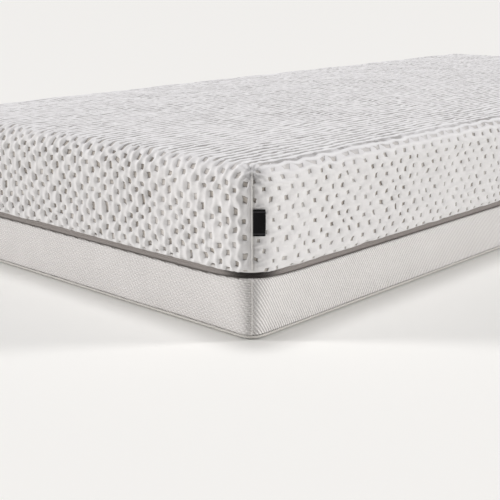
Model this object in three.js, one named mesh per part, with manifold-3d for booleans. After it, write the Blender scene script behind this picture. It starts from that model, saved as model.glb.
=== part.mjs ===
import * as THREE from 'three';
import { mergeVertices } from 'three/addons/utils/BufferGeometryUtils.js';
import Module from 'manifold-3d';

// A single memory foam mattress in a zip-off cover, in millimetres, +Z up. The foot end faces -Y, the
// head end +Y, and the origin is the middle of the underside. Every outline in plan is the outer face
// of the border moved inwards by an inset, so the layers of cloth, zip and foam follow one another.

// Border and bottom
const borderWidth = 900;
const borderLength = 1980;
const borderCornerRadius = 42;
const borderThickness = 6;
const borderSeamDiameter = 2.6;
const bottomPanelThickness = 4;
const bottomPanelInset = 5;
const bindingHeight = 4;
const bindingLift = 1.6;
const bindingInset = 0.6;

// Foam, from the bottom up
const supportCoreHeight = 150;
const comfortLayerHeight = 40;
const memoryFoamHeight = 56;

// Cross cuts in the top of the support core, in three soft zones
const cutWidth = 6;
const cutDepth = 30;
const cutPitch = 45;
const cutsInZone = 6;
const zoneSpacing = 560;

// Upper cover
const knitThickness = 8;
const waddingThickness = 6;
const topEdgeRadius = 36;
const coverSeamDiameter = 2.6;

// Zip
const zipLevel = 95;
const zipBand = 13;
const chainGap = 1.8;
const tapeWidth = 16;
const tapeThickness = 1;
const coilHeight = 2.7;
const coilThickness = 2.2;
const stopLength = 5;

// Slider and pull tab
const sliderLength = 17;
const sliderTail = 0.8;
const sliderCornerCut = 2;
const sliderPlate = 1.4;
const sliderClearance = 1.1;
const sliderWedge = 1.1;
const wedgeLength = 5;
const lipLength = 6;
const archLength = 10;
const archHeight = 3.2;
const archWidth = 3;
const archBar = 1.2;
const pullLength = 34;
const pullWidth = 8.4;
const pullThickness = 1.4;
const pullFrame = 1.7;
const pullEyeLength = 7;
const parkedFromCorner = 60;

// Labels
const labelWidth = 18;
const labelHeight = 40;
const labelThickness = 1.4;
const labelBottom = 161;
const careLabelWidth = 50;
const careLabelHeight = 45;
const careLabelThickness = 0.8;

// Clear space between neighbours, and how far joined shapes run into each other
const gap = 0.3;
const weld = 0.01;
const cornerSegments = 4;
const seamSides = 8;
const crossbarSides = 12;

// Heights
const foamBase = bottomPanelThickness + gap;
const comfortBase = foamBase + supportCoreHeight + gap;
const memoryBase = comfortBase + comfortLayerHeight + gap;
const memoryTop = memoryBase + memoryFoamHeight;
const waddingTop = memoryTop + gap + waddingThickness;
const coverTop = waddingTop + gap + knitThickness;
const borderBase = bindingLift + bindingHeight + gap;
const borderTop = zipLevel - zipBand / 2;
const coverBase = zipLevel + zipBand / 2;

// Insets from the border's outer face, from the foam outwards
const tapeOuter = borderThickness + gap;
const tapeInner = tapeOuter + tapeThickness;
const foamInset = tapeInner + gap + sliderPlate + gap;
const coilInner = borderThickness;
const coilOuter = coilInner - coilThickness;
const waddingInner = borderThickness;
const waddingOuter = waddingInner - waddingThickness;
const knitInner = waddingOuter - gap;
const knitOuter = knitInner - knitThickness;
const plateInner = coilOuter - gap;
const plateOuter = plateInner - sliderPlate;
const pullAxisInset = plateOuter - gap - pullThickness / 2;

// The straight part of a long side ends here, so the zip slider parks and runs inside it.
const straightEnd = borderLength / 2 - borderCornerRadius;
const parkedAt = straightEnd - parkedFromCorner;
const stopAt = parkedAt + sliderLength / 2 + stopLength;

const wasm = await Module();
wasm.setup();

function solid(geometry) {
  const bare = geometry.clone();
  bare.deleteAttribute('normal');
  bare.deleteAttribute('uv');
  const merged = mergeVertices(bare, 1e-4);
  const mesh = new wasm.Mesh({
    numProp: 3,
    vertProperties: merged.attributes.position.array,
    triVerts: new Uint32Array(merged.index.array),
  });
  return new wasm.Manifold(mesh);
}

function geometryOf(body) {
  const mesh = body.getMesh();
  const geometry = new THREE.BufferGeometry();
  geometry.setAttribute('position', new THREE.BufferAttribute(mesh.vertProperties, 3));
  geometry.setIndex(new THREE.BufferAttribute(mesh.triVerts, 1));
  geometry.computeVertexNormals();
  return geometry;
}

// A rectangle with round corners, drawn anticlockwise on the given path.
function roundedRectangle(path, halfX, halfY, radius) {
  path.moveTo(halfX, radius - halfY);
  path.absarc(halfX - radius, halfY - radius, radius, 0, Math.PI / 2, false);
  path.absarc(radius - halfX, halfY - radius, radius, Math.PI / 2, Math.PI, false);
  path.absarc(radius - halfX, radius - halfY, radius, Math.PI, 1.5 * Math.PI, false);
  path.absarc(halfX - radius, radius - halfY, radius, 1.5 * Math.PI, 2 * Math.PI, false);
  path.closePath();
  return path;
}

// The mattress outline in plan, moved inwards from the border's outer face by the inset.
function outline(inset, path = new THREE.Shape()) {
  const halfX = borderWidth / 2 - inset;
  const halfY = borderLength / 2 - inset;
  return roundedRectangle(path, halfX, halfY, borderCornerRadius - inset);
}

function extrude(shape, base, top) {
  const options = { depth: top - base, bevelEnabled: false, curveSegments: cornerSegments };
  return new THREE.ExtrudeGeometry(shape, options).translate(0, 0, base);
}

function slab(inset, base, top) {
  return extrude(outline(inset), base, top);
}

function ring(outerInset, innerInset, base, top) {
  const shape = outline(outerInset);
  shape.holes.push(outline(innerInset, new THREE.Path()));
  return extrude(shape, base, top);
}

function box(low, high) {
  const size = new THREE.Vector3().subVectors(high, low);
  const middle = new THREE.Vector3().addVectors(low, high).multiplyScalar(0.5);
  return new THREE.BoxGeometry(size.x, size.y, size.z).translate(middle.x, middle.y, middle.z);
}

// A block whose top edge is rounded: a bevelled slab with everything below the base cut away.
function domedBlock(inset, base, top, edgeRadius) {
  const options = {
    depth: top - base,
    bevelEnabled: true,
    bevelSize: edgeRadius,
    bevelThickness: edgeRadius,
    bevelSegments: cornerSegments,
    curveSegments: cornerSegments,
  };
  const bevelled = new THREE.ExtrudeGeometry(outline(inset + edgeRadius), options);
  bevelled.translate(0, 0, base - edgeRadius);
  const reach = borderLength;
  const below = box(
    new THREE.Vector3(-reach, -reach, base - 2 * edgeRadius - 1),
    new THREE.Vector3(reach, reach, base),
  );
  return solid(bevelled).subtract(solid(below));
}

// A five-sided shell open at the bottom, of one thickness all over.
function domedShell(outerInset, innerInset, base, top, edgeRadius) {
  const wall = innerInset - outerInset;
  const outer = domedBlock(outerInset, base, top, edgeRadius);
  const inner = domedBlock(innerInset, base - 1, top - wall, edgeRadius - wall);
  return geometryOf(outer.subtract(inner));
}

// The outline of one border panel: along a side and half way round the corner at each end, where it
// stops short of the seam. The side is the one that faces -Y.
function panelOutline(halfX, halfY) {
  const inner = borderCornerRadius - borderThickness;
  const stop = Math.PI / 4 - (borderSeamDiameter / 2 + gap) / inner;
  const right = halfX - borderCornerRadius;
  const level = borderCornerRadius - halfY;
  const down = -Math.PI / 2;
  const shape = new THREE.Shape();
  shape.absarc(-right, level, borderCornerRadius, down - stop, down, false);
  shape.absarc(right, level, borderCornerRadius, down, down + stop, false);
  shape.absarc(right, level, inner, down + stop, down, true);
  shape.absarc(-right, level, inner, down, down - stop, true);
  shape.closePath();
  return shape;
}

function borderPanel(halfX, halfY, turn) {
  return extrude(panelOutline(halfX, halfY), borderBase, borderTop).rotateZ(turn);
}

// A thin upright roll of cloth at a corner, whose axis is the given distance from the middle of the
// corner's arc, along the diagonal.
function cornerSeam(signX, signY, distance, diameter, base, top) {
  const along = distance / Math.SQRT2;
  const roll = new THREE.CylinderGeometry(diameter / 2, diameter / 2, top - base, seamSides);
  const x = signX * (borderWidth / 2 - borderCornerRadius + along);
  const y = signY * (borderLength / 2 - borderCornerRadius + along);
  return roll.rotateX(Math.PI / 2).translate(x, y, (base + top) / 2);
}

// The base foam: a block with cuts across its top, in zones spaced evenly about the middle.
function supportCore() {
  const top = foamBase + supportCoreHeight;
  let core = solid(slab(foamInset, foamBase, top));
  for (const zone of [-1, 0, 1]) {
    for (let cut = 0; cut < cutsInZone; cut++) {
      const y = zone * zoneSpacing + (cut - (cutsInZone - 1) / 2) * cutPitch;
      const low = new THREE.Vector3(-borderWidth, y - cutWidth / 2, top - cutDepth);
      const high = new THREE.Vector3(borderWidth, y + cutWidth / 2, top + 1);
      core = core.subtract(solid(box(low, high)));
    }
  }
  return geometryOf(core);
}

// The top foam, whose upper edge the cover presses round.
function memoryFoam() {
  const edge = topEdgeRadius - knitThickness - waddingThickness - 2 * gap;
  return geometryOf(domedBlock(foamInset, memoryBase, memoryTop, edge));
}

// A zip coil: a ring that is open where the two ends of the zip meet and the stop is crimped on.
function zipCoil(base, top) {
  const whole = solid(ring(coilOuter, coilInner, base, top));
  const low = new THREE.Vector3(-borderWidth, stopAt - stopLength, base - 1);
  const high = new THREE.Vector3(0, stopAt + stopLength, top + 1);
  return geometryOf(whole.subtract(solid(box(low, high))));
}

function zipStop(base, top) {
  const low = new THREE.Vector3(coilOuter - borderWidth / 2, stopAt - stopLength / 2, base);
  const high = new THREE.Vector3(coilInner - borderWidth / 2, stopAt + stopLength / 2, top);
  return box(low, high);
}

// A flat piece on the zip side: across is along Y, up is along Z, and it lies between two insets.
function zipPlate(shape, outerInset, innerInset) {
  const depth = innerInset - outerInset;
  const plate = new THREE.ExtrudeGeometry(shape, { depth, bevelEnabled: false, curveSegments: 4 });
  const turn = new THREE.Matrix4().makeBasis(
    new THREE.Vector3(0, 1, 0),
    new THREE.Vector3(0, 0, 1),
    new THREE.Vector3(1, 0, 0),
  );
  plate.applyMatrix4(turn);
  return plate.translate(outerInset - borderWidth / 2, parkedAt, zipLevel);
}

// The slider's plate outline: full height at the mouth, where the coils part, narrower at the tail.
function sliderOutline() {
  const half = zipBand / 2 - sliderClearance;
  const tailHalf = half - sliderTail;
  const end = sliderLength / 2;
  const cut = sliderCornerCut;
  const shape = new THREE.Shape();
  shape.moveTo(cut - end, -half);
  shape.lineTo(end - cut, -tailHalf);
  shape.lineTo(end, cut - tailHalf);
  shape.lineTo(end, tailHalf - cut);
  shape.lineTo(end - cut, tailHalf);
  shape.lineTo(cut - end, half);
  shape.lineTo(-end, half - cut);
  shape.lineTo(-end, cut - half);
  shape.closePath();
  return shape;
}

// The wedge that parts the coils, seen from outside: it tapers from the mouth towards the tail.
function wedgeOutline() {
  const mouth = -sliderLength / 2;
  const shape = new THREE.Shape();
  shape.moveTo(mouth, -sliderWedge / 2);
  shape.lineTo(mouth + wedgeLength, -sliderWedge / 4);
  shape.lineTo(mouth + wedgeLength, sliderWedge / 4);
  shape.lineTo(mouth, sliderWedge / 2);
  shape.closePath();
  return shape;
}

// The lip that runs under the lower coil and keeps the slider on it.
function lipOutline() {
  const start = sliderCornerCut - sliderLength / 2;
  const low = sliderClearance - zipBand / 2;
  const high = -chainGap / 2 - coilHeight - gap;
  const shape = new THREE.Shape();
  shape.moveTo(start, low);
  shape.lineTo(start + lipLength, low);
  shape.lineTo(start + lipLength, high);
  shape.lineTo(start, high);
  shape.closePath();
  return shape;
}

// The arch that holds the pull tab, seen from above: along the zip, and outwards from the plate.
function archOutline() {
  const end = archLength / 2;
  const shape = new THREE.Shape();
  shape.moveTo(-end, 0);
  shape.lineTo(archBar - end, 0);
  shape.lineTo(archBar - end, archHeight - archBar);
  shape.lineTo(end - archBar, archHeight - archBar);
  shape.lineTo(end - archBar, 0);
  shape.lineTo(end, 0);
  shape.lineTo(end, archHeight - archBar);
  shape.lineTo(end - archBar, archHeight);
  shape.lineTo(archBar - end, archHeight);
  shape.lineTo(-end, archHeight - archBar);
  shape.closePath();
  return shape;
}

function sliderArch() {
  const options = { depth: archWidth, bevelEnabled: false };
  const arch = new THREE.ExtrudeGeometry(archOutline(), options);
  const stand = new THREE.Matrix4().makeBasis(
    new THREE.Vector3(0, 1, 0),
    new THREE.Vector3(-1, 0, 0),
    new THREE.Vector3(0, 0, 1),
  );
  arch.applyMatrix4(stand);
  const foot = plateOuter + weld - borderWidth / 2;
  return arch.translate(foot, parkedAt, zipLevel - archWidth / 2);
}

// The slider: an outer and an inner plate held together by a wedge that runs between the two coils,
// a lip under the lower coil, and an arch outside that holds the pull tab.
function zipSlider() {
  const innerPlate = tapeInner + gap;
  const pieces = [
    zipPlate(sliderOutline(), innerPlate, innerPlate + sliderPlate),
    zipPlate(wedgeOutline(), plateOuter, innerPlate + weld),
    zipPlate(lipOutline(), plateInner - weld, coilInner - gap),
    sliderArch(),
  ];
  let slider = solid(zipPlate(sliderOutline(), plateOuter, plateInner));
  for (const piece of pieces) slider = slider.add(solid(piece));
  return geometryOf(slider);
}

// The pull tab: a flat tag with an eye round the slider's arch, whose round crossbar turns under it.
function zipPull() {
  const half = pullWidth / 2;
  const bar = pullThickness / 2;
  const eyeHalf = half - pullFrame;
  const tag = new THREE.Shape();
  tag.moveTo(0, -half);
  tag.lineTo(pullLength - half, -half);
  tag.absarc(pullLength - half, 0, half, -Math.PI / 2, Math.PI / 2, false);
  tag.lineTo(0, half);
  tag.closePath();
  const eye = new THREE.Shape();
  eye.moveTo(-bar, -eyeHalf);
  eye.lineTo(pullEyeLength, -eyeHalf);
  eye.lineTo(pullEyeLength, eyeHalf);
  eye.lineTo(-bar, eyeHalf);
  eye.closePath();
  const tagBody = solid(zipPlate(tag, pullAxisInset - bar, pullAxisInset + bar));
  const eyeCut = solid(zipPlate(eye, pullAxisInset - 2 * bar, pullAxisInset + 2 * bar));
  const crossbar = new THREE.CylinderGeometry(bar, bar, pullWidth, crossbarSides);
  crossbar.rotateX(Math.PI / 2);
  crossbar.translate(pullAxisInset - borderWidth / 2, parkedAt, zipLevel);
  return geometryOf(tagBody.subtract(eyeCut).add(solid(crossbar)));
}

// The folded label, which leaves the corner seam and lies round the knit towards the long side.
function sideLabel() {
  const inner = borderCornerRadius - knitOuter + gap;
  const start = -Math.PI / 4 + (coverSeamDiameter / 2 + gap) / inner;
  const end = start + labelWidth / inner;
  const x = borderWidth / 2 - borderCornerRadius;
  const y = borderCornerRadius - borderLength / 2;
  const shape = new THREE.Shape();
  shape.absarc(x, y, inner + labelThickness, start, end, false);
  shape.absarc(x, y, inner, end, start, true);
  shape.closePath();
  return extrude(shape, labelBottom, labelBottom + labelHeight);
}

// The blank care label, sewn in at the head end and hanging between the foam and the border.
function careLabel() {
  const inner = borderLength / 2 - tapeInner - gap;
  const top = zipLevel - zipBand / 2 - gap;
  const low = new THREE.Vector3(-careLabelWidth / 2, inner - careLabelThickness, top - careLabelHeight);
  return box(low, new THREE.Vector3(careLabelWidth / 2, inner, top));
}

const knitFinish = { color: 0xf1efec, roughness: 0.95, metalness: 0 };
const waddingFinish = { color: 0xf6f5f2, roughness: 1, metalness: 0 };
const borderFinish = { color: 0xdcd8d2, roughness: 0.9, metalness: 0 };
const bindingFinish = { color: 0xe9e6e0, roughness: 0.9, metalness: 0 };
const zipFinish = { color: 0x8a827d, roughness: 0.7, metalness: 0 };
const metalFinish = { color: 0x6d6864, roughness: 0.35, metalness: 0.9 };
const labelFinish = { color: 0x15141a, roughness: 0.6, metalness: 0 };
const careFinish = { color: 0xf7f7f5, roughness: 0.6, metalness: 0 };
const coreFinish = { color: 0xd9e4ec, roughness: 0.95, metalness: 0 };
const comfortFinish = { color: 0xf4f0dc, roughness: 0.95, metalness: 0 };
const memoryFinish = { color: 0xfaf6ea, roughness: 0.9, metalness: 0 };

const mattress = new THREE.Group();

function add(name, geometry, finish) {
  const mesh = new THREE.Mesh(geometry, new THREE.MeshStandardMaterial(finish));
  mesh.name = name;
  mattress.add(mesh);
}

function addBottom() {
  add('bottom_panel', slab(bottomPanelInset, 0, bottomPanelThickness), borderFinish);
  const bindingTop = bindingLift + bindingHeight;
  const bindingInner = bottomPanelInset - gap;
  add('bottom_binding', ring(bindingInset, bindingInner, bindingLift, bindingTop), bindingFinish);
}

function addBorder() {
  const halfX = borderWidth / 2;
  const halfY = borderLength / 2;
  add('border_foot', borderPanel(halfX, halfY, 0), borderFinish);
  add('border_head', borderPanel(halfX, halfY, Math.PI), borderFinish);
  add('border_right', borderPanel(halfY, halfX, Math.PI / 2), borderFinish);
  add('border_left', borderPanel(halfY, halfX, -Math.PI / 2), borderFinish);
}

function addSeams() {
  const ends = [['foot', -1], ['head', 1]];
  const sides = [['left', -1], ['right', 1]];
  const low = borderCornerRadius - borderSeamDiameter / 2;
  const high = borderCornerRadius - knitOuter + gap + coverSeamDiameter / 2;
  const shoulder = coverTop - topEdgeRadius;
  for (const [end, signY] of ends) {
    for (const [side, signX] of sides) {
      const lower = cornerSeam(signX, signY, low, borderSeamDiameter, borderBase, borderTop);
      add(`border_seam_${end}_${side}`, lower, bindingFinish);
      const upper = cornerSeam(signX, signY, high, coverSeamDiameter, coverBase, shoulder);
      add(`cover_seam_${end}_${side}`, upper, knitFinish);
    }
  }
}

function addFoam() {
  const comfortTop = comfortBase + comfortLayerHeight;
  add('support_core', supportCore(), coreFinish);
  add('comfort_layer', slab(foamInset, comfortBase, comfortTop), comfortFinish);
  add('memory_foam_layer', memoryFoam(), memoryFinish);
}

function addZip() {
  const lowerTop = zipLevel - chainGap / 2;
  const upperBase = zipLevel + chainGap / 2;
  add('lower_zip_tape', ring(tapeOuter, tapeInner, lowerTop - tapeWidth, lowerTop), zipFinish);
  add('upper_zip_tape', ring(tapeOuter, tapeInner, upperBase, upperBase + tapeWidth), zipFinish);
  add('lower_zip_coil', zipCoil(lowerTop - coilHeight, lowerTop), zipFinish);
  add('upper_zip_coil', zipCoil(upperBase, upperBase + coilHeight), zipFinish);
  add('lower_zip_stop', zipStop(lowerTop - coilHeight, lowerTop), metalFinish);
  add('upper_zip_stop', zipStop(upperBase, upperBase + coilHeight), metalFinish);
  add('zip_slider', zipSlider(), metalFinish);
  add('zip_pull', zipPull(), metalFinish);
}

function addCover() {
  const waddingRadius = topEdgeRadius - knitThickness - gap;
  const knit = domedShell(knitOuter, knitInner, coverBase, coverTop, topEdgeRadius);
  const wadding = domedShell(waddingOuter, waddingInner, coverBase, waddingTop, waddingRadius);
  add('upper_cover', knit, knitFinish);
  add('cover_wadding', wadding, waddingFinish);
}

addBottom();
addBorder();
addFoam();
addZip();
addCover();
addSeams();
add('side_label', sideLabel(), labelFinish);
add('care_label', careLabel(), careFinish);

export default mattress;
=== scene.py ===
import math

import bpy
import numpy as np
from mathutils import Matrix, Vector


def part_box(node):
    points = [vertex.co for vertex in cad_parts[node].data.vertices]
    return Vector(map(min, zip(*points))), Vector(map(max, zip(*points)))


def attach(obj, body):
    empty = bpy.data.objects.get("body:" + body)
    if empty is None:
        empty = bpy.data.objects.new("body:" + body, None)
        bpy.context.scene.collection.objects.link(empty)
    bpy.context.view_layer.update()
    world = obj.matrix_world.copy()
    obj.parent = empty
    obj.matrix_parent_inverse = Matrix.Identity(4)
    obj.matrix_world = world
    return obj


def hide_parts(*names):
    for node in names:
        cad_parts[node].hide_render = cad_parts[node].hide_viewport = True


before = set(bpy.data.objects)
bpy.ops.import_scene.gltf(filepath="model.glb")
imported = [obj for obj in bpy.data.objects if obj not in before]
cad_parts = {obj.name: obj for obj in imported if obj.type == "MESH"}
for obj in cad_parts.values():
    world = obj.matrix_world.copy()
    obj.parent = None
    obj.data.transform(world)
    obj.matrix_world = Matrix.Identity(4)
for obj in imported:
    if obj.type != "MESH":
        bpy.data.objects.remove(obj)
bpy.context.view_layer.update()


# ---------------------------------------------------------------- Bottom panel
# The cloth that lies on the bed base: one flat cut of cream spacer cloth, 4 mm thick, sewn into the
# binding all round. Everything above it follows its outline, which is a rectangle with round corners.
border_low, border_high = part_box("border_foot")
corner_radius = 0.042
half_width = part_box("border_right")[1].x - corner_radius
half_length = -border_low.y - corner_radius


def mesh_piece(name, points, *faces):
    """A smooth mesh object from points and from arrays of faces, each array with one row per face."""
    mesh = bpy.data.meshes.new(name)
    points = np.asarray(points, float).reshape(-1, 3)
    corners = np.concatenate([np.asarray(f, int).ravel() for f in faces])
    sizes = np.concatenate([np.full(len(f), np.shape(f)[1]) for f in faces])
    mesh.vertices.add(len(points))
    mesh.vertices.foreach_set("co", points.ravel())
    mesh.loops.add(len(corners))
    mesh.loops.foreach_set("vertex_index", corners)
    mesh.polygons.add(len(sizes))
    mesh.polygons.foreach_set("loop_start", np.cumsum(sizes) - sizes)
    mesh.polygons.foreach_set("use_smooth", np.ones(len(sizes), bool))
    mesh.update(calc_edges=True)
    mesh.validate()
    piece = bpy.data.objects.new(name, mesh)
    bpy.context.scene.collection.objects.link(piece)
    return piece


def paint_uv(piece, uv):
    """Gives the piece a UV map named cloth, in metres of cloth, from one pair for each point."""
    mesh = piece.data
    corners = np.empty(len(mesh.loops), int)
    mesh.loops.foreach_get("vertex_index", corners)
    layer = mesh.uv_layers.new(name="cloth")
    layer.data.foreach_set("uv", np.asarray(uv, float)[corners].ravel())


def side_stations(side, lines, corner_steps):
    """Stations along one side of the outline, from the middle of one corner to the middle of the next.

    Sides 0 to 3 are foot, right, head and left, and the path runs anticlockwise. Each station is a
    base point on the rectangle of corner centres, an outward direction, the angle it is turned from
    its side and its distance along the side, so a point of any parallel outline is
    base + radius * direction. The lines are the stations of the straight part, end to end."""
    facing = math.radians(90 * side - 90)
    deep = half_length if side % 2 == 0 else half_width
    bend = np.linspace(0, math.pi / 4, corner_steps + 1)
    turn = np.concatenate([-bend[::-1], np.zeros(len(lines) - 2), bend])
    along = np.concatenate([np.full(corner_steps, lines[0]), lines, np.full(corner_steps, lines[-1])])
    out = np.array([math.cos(facing), math.sin(facing)])
    run = np.array([-out[1], out[0]])
    base = deep * out + along[:, None] * run
    direction = np.stack([np.cos(facing + turn), np.sin(facing + turn)], axis=1)
    return base, direction, turn, along


def ring_stations(xs, ys, corner_steps):
    """All four sides joined into one closed path of stations, with the side's number at each."""
    parts = []
    for side in range(4):
        made = side_stations(side, xs if side % 2 == 0 else ys, corner_steps)
        parts.append([column[:-1] for column in (*made, np.full(len(made[2]), side))])
    return [np.concatenate(column) for column in zip(*parts)]


def even_lines(width_steps, length_steps):
    """The stations of the straight parts, evenly spaced: those across the mattress, then along it."""
    return (np.linspace(-half_width, half_width, width_steps + 1),
            np.linspace(-half_length, half_length, length_steps + 1))


def sweep(base, direction, radius, height):
    """Points of a profile carried along stations: rows are profile points, columns are stations."""
    flat = base[None] + radius[..., None] * direction[None]
    tall = np.broadcast_to(np.asarray(height, float), flat.shape[:2])
    return np.concatenate([flat, tall[..., None]], axis=2)


def grid_faces(rows, columns, close_rows=False, close_columns=False):
    """Faces of a grid of points, row after row, which may close on itself either way."""
    down = np.arange(rows if close_rows else rows - 1)
    over = np.arange(columns if close_columns else columns - 1)
    i, j = (a.ravel() for a in np.meshgrid(down, over, indexing="ij"))
    below, right = (i + 1) % rows, (j + 1) % columns
    return np.stack([i * columns + j, i * columns + right, below * columns + right,
                     below * columns + j], axis=1)


def add_node(tree, kind, **settings):
    """A shader node; a setting is an input's value or link by its label, or a property of the node."""
    made = tree.nodes.new(kind)
    for key, value in settings.items():
        label = key.replace("_", " ")
        if hasattr(made, key) and label not in made.inputs:
            setattr(made, key, value)
        elif isinstance(value, bpy.types.NodeSocket):
            tree.links.new(value, made.inputs[label])
        else:
            made.inputs[label].default_value = value
    return made


def calc(tree, operation, first, second=0.0, third=None):
    """A Math node's result: first and second, and for some operations third, are numbers or sockets."""
    made = tree.nodes.new("ShaderNodeMath")
    made.operation = operation
    for place, value in enumerate((first, second, third)):
        if isinstance(value, bpy.types.NodeSocket):
            tree.links.new(value, made.inputs[place])
        elif value is not None:
            made.inputs[place].default_value = value
    return made.outputs[0]


def blend_colour(tree, share, first, second):
    """A colour between first and second, each a colour or a socket."""
    made = tree.nodes.new("ShaderNodeMix")
    made.data_type = "RGBA"
    for place, value in ((0, share), (6, first), (7, second)):
        if isinstance(value, bpy.types.NodeSocket):
            tree.links.new(value, made.inputs[place])
        else:
            made.inputs[place].default_value = value if place == 0 else (*value, 1)
    return made.outputs[2]


def noise(tree, where, scale, detail=3.0, rough=0.5):
    """Noise from 0 to 1 at the given number of lumps to the metre."""
    return add_node(tree, "ShaderNodeTexNoise", Vector=where, Scale=scale, Detail=detail,
                    Roughness=rough).outputs["Fac"]


def new_material(name, roughness, sheen=0.0, specular=0.3, metallic=0.0):
    """A material with its Principled shader, ready for its colour and its bump."""
    material = bpy.data.materials.new(name)
    material.use_nodes = True
    tree = material.node_tree
    shader = tree.nodes["Principled BSDF"]
    shader.inputs["Roughness"].default_value = roughness
    shader.inputs["Specular IOR Level"].default_value = specular
    shader.inputs["Metallic"].default_value = metallic
    shader.inputs["Sheen Weight"].default_value = sheen
    shader.inputs["Sheen Roughness"].default_value = 0.5
    return material, tree, shader


def set_bump(tree, shader, height, distance, strength=1.0, under=None):
    """Drives the shader's normal from a height from 0 to 1, distance metres deep."""
    bump = add_node(tree, "ShaderNodeBump", Height=height, Distance=distance, Strength=strength)
    if under is not None:
        tree.links.new(under, bump.inputs["Normal"])
    tree.links.new(bump.outputs["Normal"], shader.inputs["Normal"])
    return bump.outputs["Normal"]


def object_place(tree):
    """The place of each point in the object's own metres."""
    return tree.nodes.new("ShaderNodeTexCoord").outputs["Object"]


def cloth_place(tree):
    """The place of each point on its cloth, in metres, from the map named cloth."""
    return add_node(tree, "ShaderNodeUVMap", uv_map="cloth").outputs["UV"]


def split(tree, vector):
    """The three coordinates of a vector, each by itself."""
    made = add_node(tree, "ShaderNodeSeparateXYZ", Vector=vector)
    return made.outputs["X"], made.outputs["Y"], made.outputs["Z"]


def stripes(tree, distance, pitch):
    """A wave from 0 to 1 that repeats every pitch metres."""
    wave = calc(tree, "SINE", calc(tree, "MULTIPLY", distance, 2 * math.pi / pitch))
    return calc(tree, "MULTIPLY_ADD", wave, 0.5, 0.5)


def bottom_cloth():
    """A plain close weave: two crossed waves of threads, with soft wear in its colour."""
    thread_pitch = 0.0022
    material, tree, shader = new_material("bottom_cloth", 0.92, sheen=0.1)
    where = object_place(tree)
    x, y, _ = split(tree, where)
    weave = calc(tree, "MULTIPLY", stripes(tree, x, thread_pitch), stripes(tree, y, thread_pitch))
    mottled = noise(tree, where, 14)
    colour = blend_colour(tree, mottled, (0.56, 0.535, 0.50), (0.66, 0.635, 0.60))
    tree.links.new(colour, shader.inputs["Base Color"])
    set_bump(tree, shader, weave, 0.0004)
    return material


def bottom_panel():
    """A closed pad: the underside, a rounded edge and the upper side, each an outline filled flat."""
    low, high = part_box("bottom_panel")
    base, direction, _, _, _ = ring_stations(*even_lines(60, 120), 8)
    edge = high.x - half_width
    margin, round_off, near = 0.02, 0.0016, 0.0005
    inward = np.array([margin, round_off, near, 0, 0, near, round_off, margin])
    tall = high.z - low.z
    rise = np.array([0, 0, near, round_off, tall - round_off, tall - near, tall, tall])
    rows, count = len(rise), len(base)
    radius = np.broadcast_to((edge - inward)[:, None], (rows, count))
    height = np.broadcast_to((low.z + rise)[:, None], (rows, count))
    points = sweep(base, direction, radius, height)
    under = np.arange(count)[::-1][None]
    over = (rows - 1) * count + np.arange(count)[None]
    piece = mesh_piece("bottom_panel_cloth", points, grid_faces(rows, count, close_columns=True),
                       under, over)
    piece.data.materials.append(bottom_cloth())
    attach(piece, "root")
    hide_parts("bottom_panel")


bottom_panel()


# ---------------------------------------------------------------- Binding
# The narrow light rim that shows along the bottom edge: the border and the bottom panel are turned
# under together and oversewn, which leaves a soft roll about 4 mm thick with its stitches across.
def binding_cloth():
    """Slanting overlock stitches on a light tape, as waves along the object's length and width."""
    material, tree, shader = new_material("binding_cloth", 0.88, sheen=0.15)
    where = object_place(tree)
    x, y, z = split(tree, where)
    slant = calc(tree, "ADD", calc(tree, "ADD", x, y), calc(tree, "MULTIPLY", z, 0.8))
    stitch_pitch = 0.0034
    stitches = stripes(tree, slant, stitch_pitch)
    colour = blend_colour(tree, stitches, (0.72, 0.69, 0.64), (0.86, 0.84, 0.80))
    tree.links.new(colour, shader.inputs["Base Color"])
    set_bump(tree, shader, stitches, 0.0006)
    return material


def squared(direction, power):
    """How much further out a corner reaches when its circle is squared off: the radius of the curve
    |x|^power + |y|^power = 1 in each direction, which is 1 for a power of 2."""
    return (np.abs(direction) ** power).sum(axis=1) ** (-1 / power)


border_squareness = 4.2


def bottom_binding():
    """A roll of elliptical section that follows the squared foot of the border."""
    low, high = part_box("bottom_binding")
    base, direction, _, _, _ = ring_stations(*even_lines(180, 400), 12)
    middle = (low.z + high.z) / 2
    around = np.linspace(0, 2 * np.pi, 12, endpoint=False)
    inset, half_across = 0.0024, 0.0023
    out = corner_radius - inset + half_across * np.cos(around)
    up = middle + (high.z - low.z) * 0.5 * np.sin(around)
    radius = out[:, None] * squared(direction, border_squareness)[None]
    height = np.broadcast_to(up[:, None], radius.shape)
    points = sweep(base, direction, radius, height)
    faces = grid_faces(len(around), len(base), close_rows=True, close_columns=True)
    piece = mesh_piece("bottom_binding_roll", points, faces)
    piece.data.materials.append(binding_cloth())
    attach(piece, "root")
    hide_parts("bottom_binding")


bottom_binding()


# ---------------------------------------------------------------- Border panels
# Four strips of cream spacer cloth, 83 mm high, stretched from the binding up to the zip and sewn to
# each other at the corners. The cloth has fine raised ribs: on the long sides they run down at a
# slant, and the end strips are cut the other way, so there they lie level as short dashes.
border_names = ("foot", "right", "head", "left")
border_top = border_high.z
border_bottom = border_low.z


def soft_noise(u, v, cell, seed):
    """Smooth noise from -1 to 1: random values on a lattice of square cells, blended by smoothstep."""
    table = np.random.default_rng(seed).uniform(-1, 1, (257, 257))
    u, v = np.broadcast_arrays(np.asarray(u, float) / cell, np.asarray(v, float) / cell)
    i, j = np.floor(u).astype(int), np.floor(v).astype(int)
    s, t = u - i, v - j
    s, t = s * s * (3 - 2 * s), t * t * (3 - 2 * t)
    left = table[i % 257, j % 257] * (1 - t) + table[i % 257, (j + 1) % 257] * t
    right = table[(i + 1) % 257, j % 257] * (1 - t) + table[(i + 1) % 257, (j + 1) % 257] * t
    return left * (1 - s) + right * s


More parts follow.
